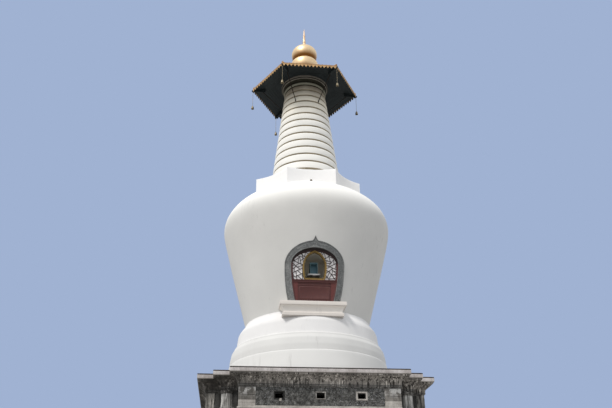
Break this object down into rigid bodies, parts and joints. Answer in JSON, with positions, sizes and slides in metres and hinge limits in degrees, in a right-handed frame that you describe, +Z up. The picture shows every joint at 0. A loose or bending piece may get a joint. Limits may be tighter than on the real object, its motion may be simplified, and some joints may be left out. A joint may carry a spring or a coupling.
{
  "type": "stupa",
  "caption": "White bottle-shaped stupa on a stepped grey pedestal, with an arched niche, a ringed neck, a six-sided canopy hung with wind bells and a gilded gourd finial.",
  "frame": {"origin": "centre of the pedestal's underside, on the ground", "axes": "+Z up along the spire; the niche faces -Y; +X is to the right of a person facing the niche"},
  "size_m": [11.3, 11.3, 27.61],
  "materials": {
    "lime": "limewashed plaster, matt",
    "brick": "weathered carved brick, matt",
    "stone": "weathered stone, matt",
    "grey_stone": "carved blue-grey stone, matt",
    "maroon_timber": "painted maroon, worn",
    "paper": "pale backing, matt",
    "gilt_timber": "carved and gilded",
    "dark_boards": "dark painted boards",
    "glazed_tile": "amber glazed tile, half gloss",
    "iron": "dark weathered iron",
    "bronze": "aged bronze",
    "gilt_copper": "gilded copper, polished"
  },
  "bodies": {
    "stupa": {"pedestal_foot": "stone", "pedestal_base_moulding": "stone", "waist_core": "stone", "waist_wall_front": "brick", "waist_wall_right": "brick", "waist_wall_back": "brick", "waist_wall_left": "brick", "pedestal_upper_moulding": "brick", "pedestal_cornice": "stone", "base_ring_1": "lime", "base_ring_2": "lime", "base_ring_3": "lime", "dome_left_wall": "lime", "dome_right_wall": "lime", "dome_crown": "lime", "niche_sill": "lime", "niche_frame": "grey_stone", "screen_frame": "maroon_timber", "screen_backing_left": "paper", "screen_backing_right": "paper", "screen_lattice_left": "maroon_timber", "screen_lattice_right": "maroon_timber", "screen_arch": "gilt_timber", "screen_panel": "maroon_timber", "niche_altar": "stone", "niche_shrine": "maroon_timber", "neck_seat": "lime", "neck_rings": "lime", "neck_capital": "lime", "canopy_ceiling": "dark_boards", "canopy_eave": "glazed_tile", "canopy_roof": "glazed_tile", "canopy_strut_1": "iron", "canopy_strut_2": "iron", "canopy_strut_3": "iron", "canopy_strut_4": "iron", "canopy_strut_5": "iron", "canopy_strut_6": "iron", "finial_lower_bulb": "gilt_copper", "finial_upper_bulb": "gilt_copper", "finial_spike": "gilt_copper"},
    "bell_1": {"wind_bell_1": "bronze"},
    "bell_2": {"wind_bell_2": "bronze"},
    "bell_3": {"wind_bell_3": "bronze"},
    "bell_4": {"wind_bell_4": "bronze"},
    "bell_5": {"wind_bell_5": "bronze"},
    "bell_6": {"wind_bell_6": "bronze"}
  },
  "joints": [
    {"name": "bell_1_swing", "type": "hinge", "parent": "stupa", "child": "bell_1", "pos_m": [1.675, -2.90119, 22.14], "axis": [0.866, 0.5, 0], "range_deg": [-25, 25]},
    {"name": "bell_2_swing", "type": "hinge", "parent": "stupa", "child": "bell_2", "pos_m": [3.35, 0, 22.14], "axis": [0, 1, 0], "range_deg": [-25, 25]},
    {"name": "bell_3_swing", "type": "hinge", "parent": "stupa", "child": "bell_3", "pos_m": [1.675, 2.90119, 22.14], "axis": [-0.866, 0.5, 0], "range_deg": [-25, 25]},
    {"name": "bell_4_swing", "type": "hinge", "parent": "stupa", "child": "bell_4", "pos_m": [-1.675, 2.90119, 22.14], "axis": [-0.866, -0.5, 0], "range_deg": [-25, 25]},
    {"name": "bell_5_swing", "type": "hinge", "parent": "stupa", "child": "bell_5", "pos_m": [-3.35, 0, 22.14], "axis": [0, -1, 0], "range_deg": [-25, 25]},
    {"name": "bell_6_swing", "type": "hinge", "parent": "stupa", "child": "bell_6", "pos_m": [-1.675, -2.90119, 22.14], "axis": [0.866, -0.5, 0], "range_deg": [-25, 25]}
  ]
}
